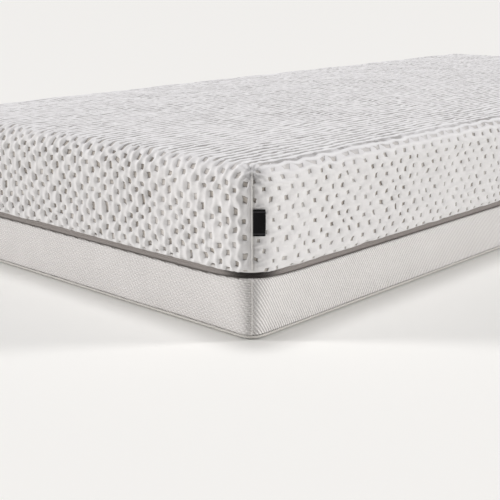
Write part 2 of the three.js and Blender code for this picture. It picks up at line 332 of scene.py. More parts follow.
def zip_rise(corner_distance):
    """How much higher the zip runs near a corner, where the knit is drawn up by its seam: a smooth
    rise highest * exp(-(distance / reach)^2)."""
    highest, reach = 0.0045, 0.055
    return highest * np.exp(-((corner_distance / reach) ** 2))


def border_cloth(slanted):
    """Ribs as waves across the cloth map: slanted unbroken ones, or level ones broken into dashes."""
    name = "border_cloth_slanted" if slanted else "border_cloth_level"
    material, tree, shader = new_material(name, 0.9, sheen=0.12)
    where = cloth_place(tree)
    wobble = calc(tree, "MULTIPLY", noise(tree, where, 45), 0.0016)
    s, z, _ = split(tree, where)
    rib_pitch, crossing_pitch = 0.0042, 0.0031
    row_pitch, row_shift, dash_pitch = 0.0038, 0.0031, 0.0084
    if slanted:
        cross = calc(tree, "ADD", calc(tree, "MULTIPLY", s, 0.87), calc(tree, "MULTIPLY", z, 0.5))
        ribs = stripes(tree, calc(tree, "ADD", cross, wobble), rib_pitch)
        other = calc(tree, "SUBTRACT", calc(tree, "MULTIPLY", s, 0.6), calc(tree, "MULTIPLY", z, 0.8))
        fine = stripes(tree, other, crossing_pitch)
        height = calc(tree, "MULTIPLY_ADD", fine, 0.35, ribs)
    else:
        tilt = calc(tree, "MULTIPLY_ADD", s, 0.12, z)
        row = calc(tree, "ADD", tilt, wobble)
        level = stripes(tree, row, row_pitch)
        number = calc(tree, "FLOOR", calc(tree, "DIVIDE", row, row_pitch))
        shift = calc(tree, "MULTIPLY_ADD", number, row_shift, s)
        breaks = calc(tree, "POWER", stripes(tree, shift, dash_pitch), 0.5)
        height = calc(tree, "MULTIPLY", level, breaks)
    mottled = calc(tree, "MULTIPLY", noise(tree, where, 9), 0.3)
    share = calc(tree, "MULTIPLY_ADD", height, 0.8, mottled)
    dark = (0.62, 0.595, 0.58) if slanted else (0.68, 0.655, 0.64)
    colour = blend_colour(tree, share, dark, (0.97, 0.945, 0.93))
    tree.links.new(colour, shader.inputs["Base Color"])
    threads = noise(tree, where, 900, detail=2)
    first = set_bump(tree, shader, threads, 0.0002, 0.5)
    set_bump(tree, shader, height, 0.0011, under=first)
    return material


def border_profile(outer_rows):
    """The section of a strip, as a closed loop from the foot of its outer face: how far out, and how
    high from 0 to 1. The outer face swells by a half wave, its foot and head are turned in by
    exp(-distance / turned_share), and the inner face is plain."""
    swell, foot_turn, head_turn, turned_share, thickness = 0.0010, 0.0012, 0.0026, 0.03, 0.0052
    rise = np.linspace(0, 1, outer_rows)
    front = swell * np.sin(np.pi * rise) - foot_turn * np.exp(-rise / turned_share)
    front = front - head_turn * np.exp(-(1 - rise) / turned_share)
    back_rise = np.linspace(1, 0, 6)[1:-1]
    back = np.full(len(back_rise), -thickness)
    return np.concatenate([front, back]), np.concatenate([rise, back_rise])


def border_power(rise):
    """How far the border's corner is squared off at each height from 0 to 1: from the full power at
    the foot to 2, a plain circle, at the head."""
    return 2 + (border_squareness - 2) * (1 - rise) ** 1.4


def border_panel(side, material):
    """One strip of the border, as its section carried along one side, with both ends closed. Slow
    noise makes its face wave a little, and it sinks by exp(-d^2) towards the seam at each end."""
    lines = even_lines(352, 768)[side % 2]
    base, direction, turn, along = side_stations(side, lines, 8)
    outer_rows = 36
    inward, rise = border_profile(outer_rows)
    run = along + corner_radius * turn
    end = run[-1]
    from_end = end - np.abs(run)
    top = border_top + zip_rise(from_end)
    height = border_bottom + rise[:, None] * (top - border_bottom)[None]
    wave = 0.0007 * soft_noise(run[None] + 3 * side, height, 0.07, 11)
    wave = wave + 0.0004 * soft_noise(run[None] + 3 * side, height, 0.028, 12)
    crease_depth, crease_width = 0.0016, 0.005
    crease = -crease_depth * np.exp(-((from_end / crease_width) ** 2))
    front = np.arange(len(rise)) < outer_rows
    radius = corner_radius + inward[:, None] + np.where(front[:, None], wave + crease[None], 0)
    reach = np.stack([squared(direction, power) for power in border_power(rise)])
    points = sweep(base, direction, radius * reach, height)
    rows, columns = height.shape
    ends = np.arange(rows) * columns
    name = "border_" + border_names[side]
    piece = mesh_piece(name + "_cloth", points, grid_faces(rows, columns, close_rows=True),
                       ends[None], (ends + columns - 1)[None, ::-1])
    uv = np.stack(np.broadcast_arrays(run[None], height), axis=2).reshape(-1, 2)
    paint_uv(piece, uv)
    piece.data.materials.append(material)
    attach(piece, "root")
    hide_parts(name)


slanted_cloth, level_cloth = border_cloth(True), border_cloth(False)
for border_side in range(4):
    border_panel(border_side, level_cloth if border_side % 2 == 0 else slanted_cloth)


# ---------------------------------------------------------------- Border corner seams
# The border strips are joined at the four corners, and the seam's two edges stand up as one narrow
# cord that follows the corner from the sharp foot to the rounder head.
def thread_cloth(name, first, second, pitch):
    """Slanting stitches round an upright cord, as a wave along all three directions together."""
    material, tree, shader = new_material(name, 0.85, sheen=0.15)
    where = object_place(tree)
    x, y, z = split(tree, where)
    stitches = stripes(tree, calc(tree, "ADD", calc(tree, "ADD", x, y), z), pitch)
    tree.links.new(blend_colour(tree, stitches, first, second), shader.inputs["Base Color"])
    set_bump(tree, shader, stitches, 0.0004)
    return material


def upright_cord(name, corner, reach, heights, thickness, material, body, node):
    """A round cord up the middle of a corner, with rounded ends: each of its rings has twelve points
    and a radius of thickness * sqrt(1 - t^8), with t from -1 to 1 along it, and a fine stitch wave."""
    base, direction, _, _ = side_stations(corner, even_lines(2, 2)[corner % 2], 4)
    middle, out = base[0], direction[0]
    aside = np.array([-out[1], out[0]])
    around = np.linspace(0, 2 * np.pi, 12, endpoint=False)
    t = np.linspace(-1, 1, len(heights))
    stitch_share, stitch_length = 0.10, 0.004
    stitch = 1 + stitch_share * np.sin(heights * 2 * np.pi / stitch_length)
    size = thickness * np.sqrt((1 - t ** 8).clip(0.04)) * stitch
    level = reach[:, None] + size[:, None] * np.cos(around)
    cross = size[:, None] * np.sin(around)
    flat = middle + level[..., None] * out + cross[..., None] * aside
    tall = np.broadcast_to(heights[:, None], level.shape)
    points = np.concatenate([flat, tall[..., None]], axis=2)
    rows, count = level.shape
    end_ring = np.arange(count)[None]
    piece = mesh_piece(name, points, grid_faces(rows, count, close_columns=True),
                       end_ring[:, ::-1], (rows - 1) * count + end_ring)
    piece.data.materials.append(material)
    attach(piece, body)
    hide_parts(node)


corner_names = ("foot_left", "foot_right", "head_right", "head_left")
seam_stitch_pitch = 0.0022
border_thread = thread_cloth("border_thread", (0.66, 0.64, 0.61), (0.86, 0.84, 0.82), seam_stitch_pitch)
border_cord_thickness, border_cord_rings = 0.0012, 90
cord_heights = np.linspace(border_bottom + 0.0005, border_top + 0.003, border_cord_rings)
corner_way = np.full((1, 2), math.sqrt(0.5))
cord_reach = np.array([squared(corner_way, power)[0]
                       for power in border_power(np.linspace(0, 1, border_cord_rings))])
cord_reach = cord_reach * (corner_radius - 0.0002)
for corner, corner_name in enumerate(corner_names):
    upright_cord("border_seam_cord_" + corner_name, corner, cord_reach, cord_heights,
                 border_cord_thickness, border_thread, "root", "border_seam_" + corner_name)


# ---------------------------------------------------------------- Foam layers
# Three slabs of cut foam glued into one block: a pale blue support core with cross cuts in three
# zones, a cream comfort layer and a white memory foam layer. Cut foam shows its fine open cells.
def dome_faces(rows, base, xs, ys):
    """Faces of a closed piece made of a ring of rows, a grid over its top and a flat cap over its
    first row. The last row of the ring joins the grid's edge; at a corner it joins one point."""
    count = len(base)
    i = np.searchsorted(xs, base[:, 0] - 1e-6)
    j = np.searchsorted(ys, base[:, 1] - 1e-6)
    rim = rows * count + i * len(ys) + j
    here = np.arange(count)
    there = (here + 1) % count
    last = (rows - 1) * count
    corner = rim[here] == rim[there]
    join = np.stack([last + here, last + there, rim[there], rim[here]], axis=1)
    ring = grid_faces(rows, count, close_columns=True)
    top = rows * count + grid_faces(len(xs), len(ys))[:, ::-1]
    return ring, join[~corner], join[corner][:, :3], top, here[None, ::-1]


def foam(name, first, second, cell):
    """Open cells as Voronoi hollows, over slow lumps and the faint level marks of the saw."""
    material, tree, shader = new_material(name, 0.95, sheen=0.05, specular=0.15)
    where = object_place(tree)
    _, _, z = split(tree, where)
    cells = add_node(tree, "ShaderNodeTexVoronoi", Vector=where, Scale=1 / cell).outputs["Distance"]
    lumps = noise(tree, where, 30)
    saw_pitch = 0.0052
    marks = stripes(tree, calc(tree, "MULTIPLY_ADD", lumps, 0.002, z), saw_pitch)
    share = calc(tree, "ADD", calc(tree, "MULTIPLY", cells, 0.5), calc(tree, "MULTIPLY", lumps, 0.4))
    tree.links.new(blend_colour(tree, share, first, second), shader.inputs["Base Color"])
    under = set_bump(tree, shader, marks, 0.0002, 0.5)
    set_bump(tree, shader, cells, 0.0009, 0.9, under=under)
    return material


def foam_slab(node, material, ys, dip):
    """A slab on the outline's parallel at its own reach, its edges rounded over a quarter circle, its
    top lowered by dip(y), so a cut has upright walls where two lines of the grid nearly meet."""
    low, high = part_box(node)
    reach = high.x - half_width
    xs = np.linspace(-half_width, half_width, 25)
    base, direction, _, _, _ = ring_stations(xs, ys, 8)
    arc = np.linspace(0, np.pi / 2, 5)
    edge_radius, margin = 0.003, 0.02
    outward_turn, upward_turn = edge_radius * (1 - np.sin(arc)), edge_radius * (1 - np.cos(arc))
    inward = np.concatenate([[margin], outward_turn, upward_turn, [margin]])
    above = np.concatenate([[0], upward_turn, -outward_turn, [0]])
    from_top = np.arange(len(above)) > len(arc)
    floor_height = np.where(from_top, high.z, low.z)
    height = (floor_height + above)[:, None] - from_top[:, None] * dip(base[:, 1])[None]
    radius = np.broadcast_to((reach - inward)[:, None], height.shape)
    x, y = np.meshgrid(xs, ys, indexing="ij")
    grid = np.stack([x, y, high.z - dip(y)], axis=2)
    ring = sweep(base, direction, radius, height)
    points = np.concatenate([ring.reshape(-1, 3), grid.reshape(-1, 3)])
    piece = mesh_piece(node + "_foam", points, *dome_faces(len(inward), base, xs, ys))
    piece.data.materials.append(material)
    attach(piece, "root")
    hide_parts(node)


cut_zones, cuts_in_zone, cut_pitch = np.array([-0.56, 0.0, 0.56]), 6, 0.045
cut_half_width, cut_wall, cut_depth = 0.0030, 0.00005, 0.030
cut_places = cut_zones[:, None] + cut_pitch * (np.arange(cuts_in_zone) - (cuts_in_zone - 1) / 2)
cut_half = cut_half_width + cut_wall * np.array([1, -1])
cut_edges = cut_places.reshape(-1, 1) + np.concatenate([-cut_half, cut_half[::-1]])
slab_lines = np.linspace(-half_length, half_length, 49)


def cut_dip(y):
    """How far the core's top is cut down: the cuts' depth within half a width of each cut's middle."""
    from_cut = np.abs(y[..., None] - cut_places.ravel()).min(-1)
    return np.where(from_cut < cut_half_width, cut_depth, 0.0)


core_lines = np.unique(np.round(np.concatenate([slab_lines, cut_edges.ravel()]), 6))
no_dip = np.zeros_like
foam_slab("support_core", foam("support_foam", (0.42, 0.55, 0.64), (0.56, 0.68, 0.75), 0.0016),
          core_lines, cut_dip)
foam_slab("comfort_layer", foam("comfort_foam", (0.74, 0.68, 0.55), (0.84, 0.79, 0.67), 0.0013),
          slab_lines, no_dip)
foam_slab("memory_foam_layer", foam("memory_foam", (0.76, 0.75, 0.73), (0.88, 0.87, 0.85), 0.0009),
          slab_lines, no_dip)


# ---------------------------------------------------------------- Zip
# A warm grey zip runs right round the mattress in the gap between the border and the cover. Each
# half is a woven tape with a nylon coil sewn along its edge, and the coils' loops lie in each other.
def tape_cloth():
    """A close herringbone weave: slanting threads that turn back at each turn_height of height."""
    turn_height, thread_pitch = 0.002, 0.0016
    material, tree, shader = new_material("zip_tape_cloth", 0.85, sheen=0.2)
    where = cloth_place(tree)
    s, z, _ = split(tree, where)
    zigzag = calc(tree, "PINGPONG", z, turn_height)
    threads = stripes(tree, calc(tree, "ADD", s, zigzag), thread_pitch)
    share = calc(tree, "MULTIPLY_ADD", noise(tree, where, 40), 0.4, calc(tree, "MULTIPLY", threads, 0.6))
    tree.links.new(blend_colour(tree, share, (0.20, 0.18, 0.165), (0.30, 0.275, 0.255)),
                   shader.inputs["Base Color"])
    set_bump(tree, shader, threads, 0.0003)
    return material


def corner_distance(turn, along, side, reach):
    """How far each station of a ring is from the middle of its corner, measured round an outline that
    stands reach off the corner centres: the rest of the side and the rest of the bend."""
    straight = np.where(side % 2 == 0, half_width, half_length) - np.abs(along)
    return straight + reach * (math.pi / 4 - np.abs(turn))


def ring_band(name, section_out, section_up, material):
    """A closed band right round the mattress: the section, a loop of reach and height that starts at
    the foot of its outer face, carried along the ring and lifted at the corners with the zip. Returns
    the piece, its length and the distance of each station from its corner."""
    base, direction, turn, along, side = ring_stations(*even_lines(352, 768), 10)
    from_corner = corner_distance(turn, along, side, corner_radius)
    height = np.asarray(section_up)[:, None] + zip_rise(from_corner)[None]
    radius = np.broadcast_to(np.asarray(section_out)[:, None], height.shape)
    points = sweep(base, direction, radius, height)
    rows, count = height.shape
    piece = mesh_piece(name, points, grid_faces(rows, count, close_rows=True, close_columns=True))
    step = np.hypot(*np.diff(points[0, :, :2], axis=0, append=points[0, :1, :2]).T)
    run = np.broadcast_to(np.concatenate([[0], np.cumsum(step)[:-1]])[None], height.shape)
    paint_uv(piece, np.stack([run, height], axis=2).reshape(-1, 2))
    piece.data.materials.append(material)
    return piece, step.sum(), from_corner


def zip_tape(node, body, material):
    """A flat upright tape: seven points up its outer face and the same down its inner face."""
    low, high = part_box(node)
    outer, thickness = high.x - half_width, 0.001
    up = np.linspace(low.z, high.z, 7)
    section_out = np.repeat([outer, outer - thickness], len(up))
    piece, length, _ = ring_band(node + "_cloth", section_out, np.concatenate([up, up[::-1]]), material)
    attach(piece, body)
    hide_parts(node)


tape_material = tape_cloth()
zip_tape("lower_zip_tape", "root", tape_material)
zip_tape("upper_zip_tape", "upper_cover", tape_material)


def paint_value(piece, name, values):
    """Gives the piece a named value, one number for each point."""
    made = piece.data.attributes.new(name, "FLOAT", "POINT")
    made.data.foreach_set("value", values)


def painted_value(tree, name):
    """The named value that paint_value gave the piece, at each place."""
    return add_node(tree, "ShaderNodeAttribute", attribute_name=name).outputs["Fac"]


def coil_nylon():
    """Nylon loops in the tape's grey: waves of colour and height at the loops' pitch, which lean one
    way below the chain's middle and the other way above it. Near each corner, where the chain bends,
    they go nearly black between bright loop tips: partly the gaps that open between the loops, partly
    painted shade of the recessed bend."""
    loop_pitch = 0.0030
    material, tree, shader = new_material("coil_nylon", 0.85, sheen=0.0, specular=0.1)
    where = cloth_place(tree)
    s, z, _ = split(tree, where)
    lean = calc(tree, "ABSOLUTE", calc(tree, "SUBTRACT", z, zip_middle))
    loops = stripes(tree, calc(tree, "MULTIPLY_ADD", lean, 0.9, s), loop_pitch)
    # Painted shade, in part: near each corner (bent) the colour turns nearly black between bright loop
    # tips, partly for the gaps that open between the loops where the chain bends and partly for the
    # shade in the recessed bend.
    bent = painted_value(tree, "bent")
    plain = blend_colour(tree, loops, (0.29, 0.262, 0.248), (0.41, 0.378, 0.36))
    tips = calc(tree, "POWER", loops, 8.0)
    dark = blend_colour(tree, tips, (0.003, 0.0025, 0.0025), (0.22, 0.20, 0.19))
    tree.links.new(blend_colour(tree, bent, plain, dark), shader.inputs["Base Color"])
    set_bump(tree, shader, loops, 0.0006)
    return material


zip_middle = 0.5 * (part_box("lower_zip_coil")[1].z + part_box("upper_zip_coil")[0].z)


def zip_coil(node, body, material, direction_up):
    """Half of the closed chain: its face swells by a half wave from the tape to the chain's middle."""
    coil_height, half_gap, swell, depth = 0.0052, 0.00015, 0.0005, 0.0020
    _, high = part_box(node)
    outer = high.x - half_width
    share = np.array([0, 0.03, 0.2, 0.5, 0.8, 0.97, 1])
    reach = outer - swell + swell * np.sin(np.pi * share)
    far = zip_middle - direction_up * coil_height
    up = far + share * (zip_middle - direction_up * half_gap - far)
    back = outer - depth
    section_out = np.concatenate([reach, [back, back]])
    section_up = np.concatenate([up, [up[-1], up[0]]])
    if direction_up < 0:
        section_out, section_up = section_out[::-1], section_up[::-1]
    piece, _, from_corner = ring_band(node + "_nylon", section_out, section_up, material)
    # The corner mark for the coil's colour: within about bend_reach of each corner's middle, where the
    # colour is partly painted shade of the recessed bend.
    bend_reach, bend_fade = 0.046, 0.008
    bent = 1 / (1 + np.exp((from_corner - bend_reach) / bend_fade))
    paint_value(piece, "bent", np.tile(bent, len(section_out)))
    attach(piece, body)
    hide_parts(node)


coil_material = coil_nylon()
zip_coil("lower_zip_coil", "root", coil_material, 1)
zip_coil("upper_zip_coil", "upper_cover", coil_material, -1)


# ---------------------------------------------------------------- Cover wadding
# A thin loose quilting fleece lies under the knit and fills it out. It is white, fibrous and soft,
# and ends with the knit just above the zip.
def fleece():
    """Tangled fibres: stretched noise in two directions, over slow lumps."""
    material, tree, shader = new_material("wadding_fleece", 1.0, sheen=0.4, specular=0.05)
    where = object_place(tree)
    turned = add_node(tree, "ShaderNodeMapping", Vector=where, Scale=(1.0, 0.15, 1.0)).outputs["Vector"]
    other = add_node(tree, "ShaderNodeMapping", Vector=where, Scale=(0.15, 1.0, 1.0)).outputs["Vector"]
    fibres = calc(tree, "MAXIMUM", noise(tree, turned, 900), noise(tree, other, 900))
    share = calc(tree, "MULTIPLY_ADD", noise(tree, where, 18), 0.5, calc(tree, "MULTIPLY", fibres, 0.5))
    tree.links.new(blend_colour(tree, share, (0.74, 0.73, 0.71), (0.90, 0.89, 0.87)),
                   shader.inputs["Base Color"])
    set_bump(tree, shader, fibres, 0.0012)
    return material


def cover_wadding():
    """A shell about 5 mm thick: a round shoulder of radius bend between its flat top and its sides, its
    outside lumpy by soft noise and its inside plain."""
    low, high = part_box("cover_wadding")
    reach, bend, thick, clear = high.x - half_width, 0.030, 0.0055, 0.0006
    xs, ys = even_lines(68, 158)
    base, direction, _, _, _ = ring_stations(xs, ys, 6)
    angle = np.linspace(0, np.pi / 2, 6)

    def wall(out, top):
        """One face of the shell from its flat top down to its hem, as reach and height."""
        tall = np.linspace(top - bend, low.z + 0.002, 10)[1:]
        over = np.concatenate([out - bend + bend * np.sin(angle), np.full(9, out)])
        return over, np.concatenate([top - bend * (1 - np.cos(angle)), tall])

    inner_out, inner_up = wall(reach - thick, high.z - thick)
    outer_out, outer_up = wall(reach - clear, high.z - clear)
    hem = [[reach - thick / 2], [low.z + clear]]
    radius = np.concatenate([inner_out, hem[0], outer_out[::-1]])[:, None]
    height = np.concatenate([inner_up, hem[1], outer_up[::-1]])[:, None]
    outside = (np.arange(len(radius)) > len(inner_out))[:, None]
    lump_height, lump_cell = 0.0005, 0.03
    lumps = lump_height * soft_noise(base[None, :, 0] + radius, base[None, :, 1] + 2 * height,
                                     lump_cell, 31)
    radius = np.broadcast_to(radius, lumps.shape) + lumps * outside
    ring = sweep(base, direction, radius, np.broadcast_to(height, lumps.shape))
    x, y = np.meshgrid(xs, ys, indexing="ij")
    top = high.z - 0.0008 + lump_height * soft_noise(x, y, lump_cell, 32)
    grid = np.stack([x, y, top], axis=2)
    points = np.concatenate([ring.reshape(-1, 3), grid.reshape(-1, 3)])
    piece = mesh_piece("cover_wadding_fleece", points, *dome_faces(len(radius), base, xs, ys))
    piece.data.materials.append(fleece())
    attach(piece, "upper_cover")
    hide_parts("cover_wadding")


cover_wadding()


# ---------------------------------------------------------------- Knitted cover
# The thick quilting knit, white and springy: fine ridges run the length of the mattress and weave round
# rows of small oblong hollows with a brown-grey ground and painted shade. It is one cloth over the top
# and down all four sides, joined to itself only at the corners, and its foot is rolled in above the zip.
column_pitch, hollow_pitch = 0.0155, 0.028
knit_low, knit_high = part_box("upper_cover")
knit_reach = knit_high.x - half_width
knit_round = 0.036
knit_thickness = 0.008
knit_xs, knit_ys = even_lines(368, 812)
knit_corner_steps = 18
puff_height, puff_cell = 0.0012, 0.055


def knit_relief(u, v, flat, stretched):
    """The knit's height over its cloth coordinates, u across the ridges and v along them, in metres.

    The cloth coordinates are first drawn about by smooth noise. Hollows then lie in columns one
    column_pitch apart, hollow_pitch apart along each column and staggered between neighbours. The
    ridge between two columns sways by wave = cos(2 pi v / hollow_pitch). With t the share of the way
    from a column to its ridge, the channel is -(1 - t^2.3) * (even_depth + waved_depth * wave), and a
    box-shaped hole exp(-(across / half_width)^6 - (along / half_length)^6) is sunk in the middle of
    each hollow. Creases, which are smooth noise drawn out along the ridges, lie over it all.

    Where flat is 1, as over the top, the ridges run straight and the hollows are shallower and more
    closed. Where stretched is 1, as down the long sides, the channels almost go and the creases show
    more. Returns the height, the drawn coordinates and how strong the hollows are there."""
    pull = 0.0032 * soft_noise(u, v, 0.110, 1) + 0.0030 * soft_noise(u, v, 0.021, 2)
    pull = pull + 0.0012 * soft_noise(u, v, 0.0095, 13)
    slide = 0.0050 * soft_noise(u, v, 0.130, 3) + 0.0060 * soft_noise(u, v, 0.024, 4)
    drawn_u, drawn_v = u + pull, v + slide
    weakest, strongest = 0.32, 1.25
    strong = 0.78 + 0.30 * soft_noise(u, v, 0.023, 5) + 0.22 * soft_noise(u, v, 0.090, 6)
    strong = np.clip(strong, weakest, strongest)
    open_share = 1 - 0.6 * flat
    ridge_sway = 0.0016 * (1 - flat)
    column = np.floor(drawn_u / column_pitch + 0.5)
    across = drawn_u - column * column_pitch
    for _ in range(2):
        place = drawn_v - 0.5 * hollow_pitch * np.mod(column, 2)
        wave = np.cos(2 * np.pi * place / hollow_pitch)
        half_column = column_pitch / 2 + ridge_sway * wave
        beyond = np.where(np.abs(across) > half_column, np.sign(across), 0)
        column, across = column + beyond, across - beyond * column_pitch
    share = np.clip(np.abs(across) / half_column, 0, 1)
    along = place - hollow_pitch * np.floor(place / hollow_pitch + 0.5)
    even_depth = 0.0029 - 0.0014 * flat - 0.0019 * stretched
    waved_depth = 0.0017 * (1 - flat) - 0.0013 * stretched
    channel = -(1 - share ** 2.3) * (even_depth + waved_depth * wave) * (0.35 + 0.70 * strong)
    hole_half_width, hole_half_length = 0.0034, 0.0050
    hole = np.exp(-(np.abs(across) / hole_half_width) ** 6 - (np.abs(along) / hole_half_length) ** 6)
    hole_depth = 0.0022 * strong * open_share * (1 - 0.4 * stretched)
    crease_height = 0.0008 - 0.0005 * flat + 0.0007 * stretched
    height = channel + crease_height * soft_noise(u, 0.22 * v, 0.0052, 15) - hole_depth * hole
    return height, drawn_u, drawn_v, strong * open_share


def smooth_share(tree, value, start, end):
    """A share that goes smoothly from 0 at start to 1 at end."""
    return add_node(tree, "ShaderNodeMapRange", interpolation_type="SMOOTHSTEP", Value=value,
                    From_Min=start, From_Max=end).outputs["Result"]


def knit_cloth():
    """The same lattice of hollows drawn again from the cloth map, to colour and sharpen them, over
    small V-shaped knit loops. Each hollow takes the tan of the ground yarn, with painted shade along
    its walls. Over the flat top the hollows grow long and join into broken strokes of painted shade
    between paler ribs, whose crests carry a painted highlight. Down the stretched sides they are
    shorter, and one end of each has painted shade."""
    half_width_side, half_width_more_on_top = 0.0032, 0.0004
    half_length_side, half_length_more_on_top, half_length_stretched = 0.0044, 0.0130, -0.0016
    loop_width, loop_length, loop_lean = 0.0012, 0.0014, 0.0006
    material, tree, shader = new_material("knit_cloth", 0.93, sheen=0.25, specular=0.2)
    where = cloth_place(tree)
    u, v, _ = split(tree, where)
    strong, flat = painted_value(tree, "strength"), painted_value(tree, "flat")
    stretched, seam_shadow = painted_value(tree, "stretched"), painted_value(tree, "seam")
    top = calc(tree, "POWER", flat, 4.0)

    column = calc(tree, "FLOOR", calc(tree, "MULTIPLY_ADD", u, 1 / column_pitch, 0.5))
    across = calc(tree, "ABSOLUTE", calc(tree, "MULTIPLY_ADD", column, -column_pitch, u))
    odd = calc(tree, "ABSOLUTE", calc(tree, "MODULO", column, 2))
    place = calc(tree, "MULTIPLY_ADD", odd, -hollow_pitch / 2, v)
    row = calc(tree, "FLOOR", calc(tree, "MULTIPLY_ADD", place, 1 / hollow_pitch, 0.5))
    from_middle = calc(tree, "MULTIPLY_ADD", row, -hollow_pitch, place)
    half_long = calc(tree, "MULTIPLY_ADD", top, half_length_more_on_top, half_length_side)
    half_long = calc(tree, "MULTIPLY_ADD", stretched, half_length_stretched, half_long)
    half_wide = calc(tree, "MULTIPLY_ADD", top, half_width_more_on_top, half_width_side)
    ragged = calc(tree, "MULTIPLY_ADD", noise(tree, where, 380), 0.0016, -0.0008)
    wall_u = calc(tree, "ADD", calc(tree, "SUBTRACT", across, half_wide), ragged)
    wall_v = calc(tree, "SUBTRACT", calc(tree, "ABSOLUTE", from_middle), half_long)
    wall_v = calc(tree, "ADD", wall_v, ragged)
    hole = smooth_share(tree, calc(tree, "MAXIMUM", wall_u, wall_v), 0.0008, -0.0008)
    # Painted shade on the top: broken noise strengthens the hollows' colour into dark strokes, for the
    # shade that lies in the long hollows there.
    broken = smooth_share(tree, noise(tree, where, 48), 0.34, 0.52)
    strokes = calc(tree, "MULTIPLY", top, calc(tree, "MULTIPLY_ADD", broken, 2.2, -0.6))
    strong = calc(tree, "MULTIPLY", strong, calc(tree, "ADD", strokes, 1.0))
    deep = calc(tree, "MULTIPLY", hole, calc(tree, "MINIMUM", strong, 1.0))

    lean = calc(tree, "MULTIPLY", stripes(tree, u, 2 * loop_width), loop_lean)
    rows = stripes(tree, calc(tree, "ADD", v, lean), loop_length)
    loops = calc(tree, "MULTIPLY", stripes(tree, u, loop_width), rows)
    face = blend_colour(tree, noise(tree, where, 60), (0.77, 0.755, 0.75), (0.86, 0.85, 0.85))
    # Painted highlight: over the top the knit is painted paler, and palest along the ridge crests, for
    # the light that falls on them there.
    crest_highlight = smooth_share(tree, across, 0.0045, 0.0070)
    ribbed = blend_colour(tree, crest_highlight, (0.82, 0.81, 0.825), (0.96, 0.955, 0.965))
    face = blend_colour(tree, calc(tree, "MULTIPLY", flat, 0.85), face, ribbed)
    face = blend_colour(tree, calc(tree, "MULTIPLY", loops, 0.12), face, (0.55, 0.53, 0.51))

    # Painted shade in each hollow: its floor takes the tan of the brown ground yarn, but its walls are
    # painted near-black for the shade they cast, and down the stretched sides the tan floor is moved
    # towards one end (shade_shift), so the other end is painted in shade.
    shade_shift = calc(tree, "MULTIPLY_ADD", stretched, 0.0013, from_middle)
    bottom_v = calc(tree, "SUBTRACT", calc(tree, "ABSOLUTE", shade_shift), half_long)
    ground = calc(tree, "MULTIPLY", smooth_share(tree, bottom_v, -0.0006, -0.0018),
                  smooth_share(tree, wall_u, 0.0, -0.0010))
    ground = calc(tree, "MULTIPLY", ground, calc(tree, "MULTIPLY_ADD", stretched, -0.2, 1))
    inside = blend_colour(tree, ground, (0.13, 0.11, 0.09), (0.50, 0.455, 0.405))
    # Over the top the hollows take an even grey that is painted shade.
    inside = blend_colour(tree, top, inside, (0.31, 0.295, 0.29))
    colour = blend_colour(tree, calc(tree, "MULTIPLY", deep, 0.95), face, inside)
    # Painted shadow: a dark line beside each corner seam.
    colour = blend_colour(tree, calc(tree, "MULTIPLY", seam_shadow, 0.35), colour, (0.16, 0.14, 0.12))
    tree.links.new(colour, shader.inputs["Base Color"])

    fluff = noise(tree, where, 900, detail=2)
    first = set_bump(tree, shader, calc(tree, "MULTIPLY_ADD", loops, 0.6, fluff), 0.0003, 0.6)
    puckers = noise(tree, where, 230, detail=4, rough=0.6)
    puckers = calc(tree, "MULTIPLY", puckers, calc(tree, "MULTIPLY_ADD", flat, -0.75, 1))
    second = set_bump(tree, shader, puckers, 0.0013, 0.7, under=first)
    set_bump(tree, shader, calc(tree, "SUBTRACT", 1.0, deep), 0.0014, 0.8, under=second)
    return material


def cover_section():
    """The outside of the cover where it runs straight, as outward reach, height, the surface's
    direction, and arc length from the line of corner centres. It is listed from the hem upwards. The
    edge of the top is a quarter circle, the side leans in by the fourth power towards its foot, and
    the hem is rolled in by five eighths of an ellipse. The points are an even step apart."""
    foot_lean, hem_half_width, hem_half_height, even_step = 0.0030, 0.0040, 0.0046, 0.0022
    flat = knit_reach - knit_round
    angle = np.linspace(0, np.pi / 2, 60)
    dome_out = flat + knit_round * np.sin(angle)
    dome_up = knit_high.z - knit_round * (1 - np.cos(angle))
    side_up = np.linspace(dome_up[-1], knit_low.z + 0.004, 160)[1:]
    middle = (dome_up[-1] + knit_low.z) / 2
    sag = ((side_up - middle) / (dome_up[-1] - middle)).clip(-1, 1)
    lean = np.where(sag < 0, foot_lean * sag ** 4, 0)
    hem = np.linspace(0, 1.25 * np.pi, 40)[1:]
    hem_out = knit_reach - lean[-1] - hem_half_width * (1 - np.cos(hem))
    hem_up = side_up[-1] - hem_half_height * np.sin(hem)
    out = np.concatenate([[0, flat / 2], dome_out, knit_reach - lean, hem_out])
    up = np.concatenate([[knit_high.z] * 2, dome_up, side_up, hem_up])
    arc = np.concatenate([[0], np.cumsum(np.hypot(np.diff(out), np.diff(up)))])
    steps = int(round(arc[-1] / even_step))
    even = np.linspace(0, arc[-1], steps + 1)[1:][::-1]
    out, up = np.interp(even, arc, out), np.interp(even, arc, up)
    slope_out, slope_up = np.gradient(out), np.gradient(up)
    size = np.hypot(slope_out, slope_up)
    return out, up, slope_up / size, -slope_out / size, even


seam_top = float(knit_reach - knit_round + knit_round * math.radians(48))


def smoothstep(t):
    """The smooth way from 0 to 1, t^2 * (3 - 2 t), with t kept between them."""
    t = np.clip(t, 0, 1)
    return t * t * (3 - 2 * t)


